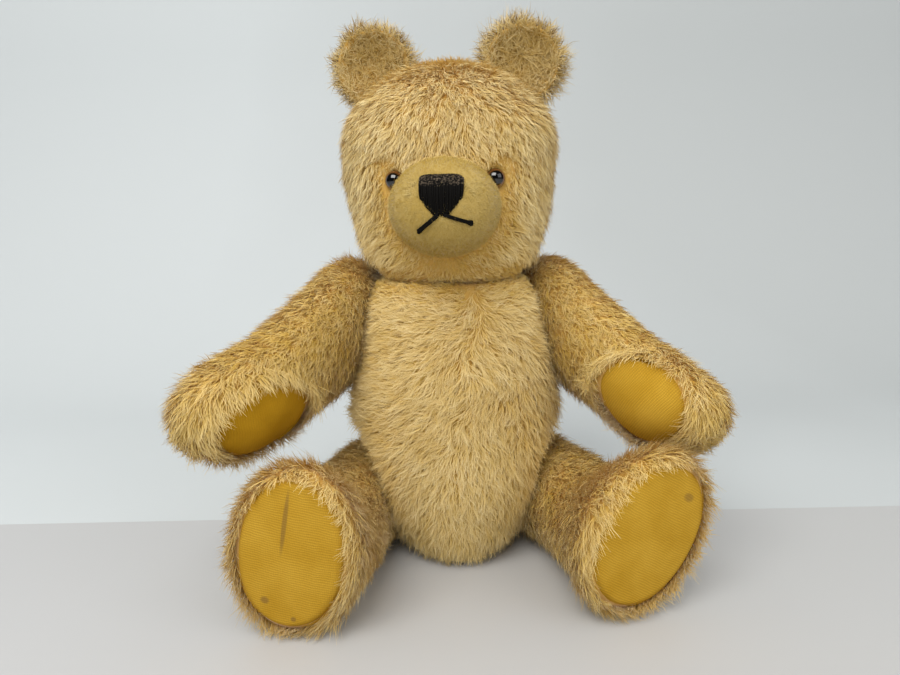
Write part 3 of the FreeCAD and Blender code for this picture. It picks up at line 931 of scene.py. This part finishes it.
def threads(name, lines, body):
    """One mesh of several threads; each line is (points, radii)."""
    verts = []
    faces = []
    base = 0
    for points, radii in lines:
        v, f = tube(points, radii, 7)
        verts.extend(v)
        faces.extend(tuple(i + base for i in face) for face in f)
        base += len(v)
    mesh = mesh_from(name, verts, faces)
    shade_smooth(mesh)
    return add_object(name, mesh, body, THREAD)


def on_face(tree, x, z, lift):
    """The point of the muzzle's front at head-local x and z, lifted off it."""
    start = head_world(np.array([x, -0.3, z]))
    ahead = head_world(np.array([0.0, 1.0, 0.0]))
    hit = tree.ray_cast(Vector(start), Vector(ahead))
    return np.array(hit[0]) + np.array(hit[1]) * lift


def nose_edges(x):
    """Top and bottom heights of the nose: a flat top, straight sides and a blunt low point."""
    share = min(1.0, abs(x) / NOSE_HALF)
    top = NOSE_TOP_Z - 2.0 * MM * share ** 7
    low = NOSE_LOW_Z + 9.8 * MM * max(0.0, (share - 0.24) / 0.76) ** 1.3
    return top, low


def build_nose(tree):
    rng = np.random.default_rng(SEED + 40)
    pitch = 0.82 * MM
    radius = 0.52 * MM
    half_count = int(NOSE_HALF / pitch)
    lines = []
    for layer, lift in ((0, 1.2 * MM), (1, 1.9 * MM)):
        for i in range(-half_count, half_count + 1):
            x = (i + 0.5 * layer) * pitch
            if abs(x) > NOSE_HALF:
                continue
            top, low = nose_edges(x)
            lean = 0.2 * MM * rng.normal()
            count = 12
            points = []
            for k in range(count):
                t = k / (count - 1)
                dome = math.sin(math.pi * (0.06 + 0.88 * t)) ** 0.5
                z = top + (low - top) * t
                points.append(on_face(tree, x * (1.0 - 0.04 * t) + lean * t, z, lift * dome - 0.4 * MM))
            lines.append((points, np.full(count, radius)))
    nose = threads("nose_threads", lines, "head")
    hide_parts("nose_stitching")


# Each stroke of the mouth: start x and z, end x and z, thread radius and end knot, all in mm.
MOUTH_STROKES = (
    (-1.5, 210.8, -12.0, 202.8, 0.80, 0.95),
    (1.0, 210.8, 15.2, 206.4, 0.62, 1.15),
)


def build_mouth(tree):
    lines = []
    count = 16
    share = np.linspace(0.0, 1.0, count)
    for x0, z0, x1, z1, radius, knot in MOUTH_STROKES:
        for strand in (-0.5, 0.5):
            points = []
            for t in share:
                x = x0 + (x1 - x0) * t
                z = z0 + (z1 - z0) * t + strand * radius * 1.2
                lift = 0.3 + 0.7 * math.sin(math.pi * (0.12 + 0.78 * t))
                points.append(on_face(tree, x * MM, z * MM, lift * MM))
            radii = radius + (knot - radius) * smoothstep(0.82, 0.95, share)
            lines.append((points, radii * MM))
    mouth = threads("mouth_threads", lines, "head")
    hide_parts("mouth_stitching")


def build_muzzle():
    mesh = remeshed("muzzle_skin", ("muzzle_inset",), 1.5 * MM, 4)
    points = vertex_array(mesh) + normal_array(mesh) * MUZZLE_SWELL
    mesh.vertices.foreach_set("co", points.reshape(-1).astype(np.float32))
    mesh.update()
    obj = add_object("muzzle_skin", mesh, "head", PLUSH)
    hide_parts("muzzle_inset")
    tree = tree_of([mesh])
    nose = on_face(tree, 0.0, 0.5 * (NOSE_TOP_Z + NOSE_LOW_Z), 0.0)
    grow("muzzle_pile", mesh, "head", PILE, muzzle_fields(nose),
         look={"swing": 0.15, "sweep": 0.1, "curl": 0.05 * MM, "gather": 0.15, "per_lock": 0.3,
               "root_lean": 0.5, "tip_lean": 1.0, "droop": 0.0},
         density=2.4, width=0.5, tone=0.55, seed=9)
    build_nose(tree)
    build_mouth(tree)


def build_eyes():
    forward = head_world(np.array([0.0, -1.0, 0.0]))
    for side in SIDES:
        node = f"eye_{side}"
        centre = node_centre(node)
        out = head_world(np.array([SIGN[side] * 0.25, -1.0, 0.05]))
        gaze = unit(0.5 * forward + 0.5 * out)
        material = glass_material(f"glass_{side}", centre, gaze)
        give(NODES[node], material)


# ---------------------------------------------------------------- pads

def pad_axes(node, inside):
    """Centre, outward normal, cross and long axes of a flat pad."""
    mesh = NODES[node].data
    points = vertex_array(mesh)
    tri = triangle_array(mesh)
    areas = triangle_areas(points, tri)
    middles = (points[tri[:, 0]] + points[tri[:, 1]] + points[tri[:, 2]]) / 3.0
    centre = (middles * areas[:, None]).sum(axis=0) / areas.sum()
    spread = ((middles - centre) * areas[:, None]).T @ (middles - centre)
    vectors = np.linalg.eigh(spread)[1]
    normal = vectors[:, 0]
    if normal @ (centre - inside) < 0.0:
        normal = -normal
    long_axis = vectors[:, 2]
    if long_axis[2] < 0.0:
        long_axis = -long_axis
    return centre, normal, np.cross(long_axis, normal), long_axis


def build_pad(name, node, body, inside, material, puff):
    """A felt pad sewn in at its rim and swelling in the middle."""
    centre, normal, cross, long_axis = pad_axes(node, inside)
    tree = tree_of([NODES[node].data])
    points = vertex_array(NODES[node].data) - centre
    u, v = points @ cross, points @ long_axis
    angles = np.arctan2(v, u)
    spokes, rings = 120, 34
    rim = []
    for k in range(spokes):
        angle = 2.0 * math.pi * k / spokes
        away = u * math.cos(angle) + v * math.sin(angle)
        near = np.abs((angles - angle + math.pi) % (2.0 * math.pi) - math.pi) < 0.12
        rim.append(away[near].max())
    rim = np.array(rim)
    smooth = sum(np.roll(rim, s) for s in range(-3, 4)) / 7.0
    verts = []
    coords = []
    for r in range(rings + 1):
        share = (r / rings) ** 0.8
        for k in range(spokes):
            angle = 2.0 * math.pi * k / spokes
            du = math.cos(angle) * smooth[k] * share * 0.99
            dv = math.sin(angle) * smooth[k] * share * 0.99
            flat = centre + cross * du + long_axis * dv
            hit = tree.ray_cast(Vector(flat + normal * 0.05), Vector(-normal))
            height = (np.array(hit[0]) - flat) @ normal if hit[0] else 0.0
            swell = puff * (1.0 - share ** 2.2) + 0.5 * MM
            tuck = 1.6 * MM * smoothstep(0.93, 1.0, share)
            verts.append(flat + normal * (height + swell - tuck))
            coords.append((du, dv))
    faces = []
    for r in range(rings):
        for k in range(spokes):
            j = (k + 1) % spokes
            faces.append((r * spokes + k, r * spokes + j, (r + 1) * spokes + j, (r + 1) * spokes + k))
    mesh = mesh_from(name, verts, faces)
    layer = mesh.uv_layers.new(name="PadMap")
    loops = np.empty(len(mesh.loops), np.int32)
    mesh.loops.foreach_get("vertex_index", loops)
    layer.data.foreach_set("uv", np.array(coords)[loops].reshape(-1).astype(np.float32))
    shade_smooth(mesh)
    bm = bmesh.new()
    bm.from_mesh(mesh)
    bmesh.ops.remove_doubles(bm, verts=bm.verts, dist=0.00001)
    bmesh.ops.recalc_face_normals(bm, faces=bm.faces)
    bm.to_mesh(mesh)
    bm.free()
    check = normal_array(mesh).mean(axis=0)
    if check @ normal < 0.0:
        mesh.flip_normals()
    obj = add_object(name, mesh, body, material)
    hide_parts(node)
    return centre, normal


# ---------------------------------------------------------------- limbs

FELT_LOW = (0.45, 0.25, 0.018)
FELT_HIGH = (0.55, 0.325, 0.035)
DIRT = (0.16, 0.09, 0.03)


def limb_fields(start, pad_centre, pad_normal, pad_tree, length_mm, rim_gain, droop):
    """Fur runs along the limb and opens out round the pad."""
    axis = unit(pad_centre - start)

    def fields(p, n):
        out = p - pad_centre
        level = out @ pad_normal
        radial = out - level[:, None] * pad_normal
        gap = distances(pad_tree, p, 20.0 * MM)
        rim = (1.0 - smoothstep(2.0 * MM, 16.0 * MM, gap))[:, None]
        flow = axis * (1.0 - rim) + rim * (0.75 * pad_normal + 0.35 * unit(radial))
        flow = flow - UP * droop
        length = length_mm * MM * (1.0 + 0.1 * ripple(p, 35.0 * MM, 31))
        length = length * (1.0 + rim_gain * rim[:, 0])
        keep = (gap > 0.8 * MM).astype(float)
        close = smoothstep(3.0 * MM, 0.5 * MM, gap)
        length = length * (1.0 - 0.35 * close)
        under = smoothstep(5.0 * MM, 0.0, p[:, 2])
        length = length * (1.0 - 0.4 * under)
        shift = 0.22 * rim[:, 0] * smoothstep(1.0, 0.2, n @ -pad_normal)
        return flow, length, keep * (1.0 - 0.4 * under), shift
    return fields


def build_limb(kind, side, marks, length_mm, rim_gain, tone, felt_low, felt_high, seed):
    body = f"{kind}_{side}"
    panels = (f"{kind}_inner_panel_{side}", f"{kind}_outer_panel_{side}")
    pad = f"arm_paw_pad_{side}" if kind == "arm" else f"leg_sole_pad_{side}"
    extra = [f"{kind}_stuffing_{side}", pad]
    if kind == "leg":
        extra.append(f"leg_insole_card_{side}")
    skin = remeshed(f"{body}_skin", (*panels, *extra), 2.8 * MM, 3)
    settle(skin, (*panels, pad), CLOTH_PRESSURE["limb"], pad)
    obj = add_object(f"{body}_skin", skin, body, BACKING)
    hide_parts(*panels)
    inside = node_centre(f"{kind}_stuffing_{side}")
    knit_depth = WORN_KNIT_DEPTH if body == "arm_right" else KNIT_DEPTH
    felt = felt_material(f"felt_{body}", felt_low, felt_high, marks, knit_depth)
    centre, normal = build_pad(f"{body}_pad", pad, body, inside, felt, 1.6 * MM)
    start = node_centre(f"{kind}_disc_{side}")
    fields = limb_fields(start, centre, normal, tree_of([NODES[pad].data]), length_mm, rim_gain,
                         LIMB_DROOP[kind])
    grow(f"{body}_fur", skin, body, WORN, fields, tone=tone, seed=seed)


def build_limbs():
    paw_low, paw_high = (0.33, 0.17, 0.006), (0.44, 0.24, 0.012)
    build_limb("arm", "left", [], 8.0, 0.6, 0.5, FELT_LOW, FELT_HIGH, 20)
    build_limb("arm", "right", [], 10.5, 0.25, 0.5, paw_low, paw_high, 21)
    left_sole = [
        ((0.008, 0.027), (0.004, 0.003), 0.9, 0.5, DIRT),
    ]
    right_sole = [
        ((-0.004, 0.018), (0.0016, 0.020), 0.8, 0.55, DIRT),
        ((-0.010, -0.026), (0.003, 0.0026), 0.9, 0.6, DIRT),
        ((0.006, -0.033), (0.0018, 0.0018), 0.8, 0.6, DIRT),
    ]
    build_limb("leg", "left", left_sole, 10.0, 0.12, 0.5, FELT_LOW, FELT_HIGH, 22)
    build_limb("leg", "right", right_sole, 10.0, 0.12, 0.68, FELT_LOW, FELT_HIGH, 23)


# ---------------------------------------------------------------- parts inside

def give(obj, material):
    obj.data.materials.clear()
    obj.data.materials.append(material)


def dress_inside():
    """Materials for the CAD nodes that stay."""
    for name, obj in NODES.items():
        if "washer" in name or "cotter" in name or "shank" in name:
            give(obj, STEEL)
        elif "disc" in name:
            give(obj, FIBREBOARD)
        elif "insole" in name:
            give(obj, CARD)
        elif "stuffing" in name:
            give(obj, WOOD_WOOL)
        elif "stitching" in name:
            give(obj, THREAD)
        elif "eye" not in name:
            give(obj, BACKING)


# ---------------------------------------------------------------- floor, light and camera

def stage_sheet(name, profile, half_width, colours, roughness):
    """A paper sweep: a line of (y, z) points carried across in x."""
    verts = []
    for y, z in profile:
        verts.append((-half_width, y, z))
        verts.append((half_width, y, z))
    faces = [(2 * i, 2 * i + 1, 2 * i + 3, 2 * i + 2) for i in range(len(profile) - 1)]
    mesh = mesh_from(name, verts, faces)
    shade_smooth(mesh)
    material, tree, shader = new_material(name)
    place = object_place(tree)
    split = tree.nodes.new("ShaderNodeSeparateXYZ")
    tree.links.new(place, split.inputs[0])
    patches = noise(tree, 1.5, 3.0, place)
    # Painted light falloff: the sheet's colour darkens towards +x, with a faint mottle.
    across = maths(tree, "MULTIPLY_ADD", split.outputs["X"], 0.9, 0.0)
    tint = ramp(tree, [(0.2, colours[0]), (0.95, colours[1])])
    tree.links.new(maths(tree, "ADD", across, patches.outputs["Fac"]), tint.inputs[0])
    tree.links.new(tint.outputs["Color"], shader.inputs["Base Color"])
    shader.inputs["Roughness"].default_value = roughness
    obj = bpy.data.objects.new(name, mesh)
    SCENE.collection.objects.link(obj)
    obj.rotation_euler.z = VIEW_HEADING
    mesh.materials.append(material)
    return obj


def build_stage():
    """A table, and a backdrop that curves up behind it."""
    half_width = 4.0
    near = -3.0
    edge = 24.0 * MM
    bend = 0.30
    radius = 0.5
    top = 2.2
    steps = 16
    # Each sheet's two colours are the ends of its painted light falloff across x.
    stage_sheet("table", [(near, 0.0), (edge, 0.0)], half_width,
                ((0.525, 0.53, 0.54), (0.50, 0.505, 0.505)), 0.5)
    curve = [(edge, 0.0), (bend, 0.0)]
    for k in range(1, steps + 1):
        angle = 0.5 * math.pi * k / steps
        curve.append((bend + radius * math.sin(angle), radius * (1.0 - math.cos(angle))))
    curve.append((bend + radius, top))
    stage_sheet("backdrop", curve, half_width, ((0.62, 0.66, 0.68), (0.52, 0.55, 0.56)), 0.8)


def area_light(name, place, aim, size, power, colour):
    lamp = bpy.data.lights.new(name, "AREA")
    lamp.shape = "RECTANGLE"
    lamp.size, lamp.size_y = size
    lamp.energy = power
    lamp.color = colour
    obj = bpy.data.objects.new(name, lamp)
    SCENE.collection.objects.link(obj)
    obj.location = place
    obj.rotation_euler = (Vector(aim) - Vector(place)).to_track_quat("-Z", "Y").to_euler()


def build_light():
    area_light("key", (-0.45, -0.9, 1.25), (0.0, 0.0, 0.12), (1.1, 0.8), 17.0, (1.0, 0.98, 0.94))
    area_light("fill", (0.9, -0.9, 0.8), (0.0, 0.0, 0.12), (1.0, 0.9), 3.5, (0.99, 0.99, 1.0))
    world = bpy.data.worlds.new("studio")
    world.use_nodes = True
    background = world.node_tree.nodes["Background"]
    background.inputs["Color"].default_value = (1.0, 0.985, 0.955, 1.0)
    path = world.node_tree.nodes.new("ShaderNodeLightPath")
    strength = maths(world.node_tree, "MULTIPLY_ADD", path.outputs["Is Glossy Ray"], -0.71, 0.75)
    world.node_tree.links.new(strength, background.inputs["Strength"])
    SCENE.world = world
    SCENE.view_settings.view_transform = "Standard"
    SCENE.view_settings.look = "None"
    SCENE.view_settings.exposure = 0.0


def build_camera():
    """The photograph's viewpoint, its lens taken to be a phone's."""
    camera = bpy.data.cameras.new("camera")
    camera.lens = CAMERA_LENS
    camera.sensor_width = 36.0
    camera.clip_start = 0.01
    obj = bpy.data.objects.new("camera", camera)
    SCENE.collection.objects.link(obj)
    obj.location = CAMERA_PLACE
    aim = Matrix.Rotation(VIEW_HEADING, 4, "Z") @ Matrix.Rotation(CAMERA_TILT, 4, "X")
    roll = Matrix.Rotation(CAMERA_ROLL, 4, "Z")
    obj.rotation_euler = (aim @ roll).to_euler()
    SCENE.camera = obj


dress_inside()
build_torso()
build_head()
build_muzzle()
build_eyes()
build_limbs()
build_stage()
build_light()
build_camera()
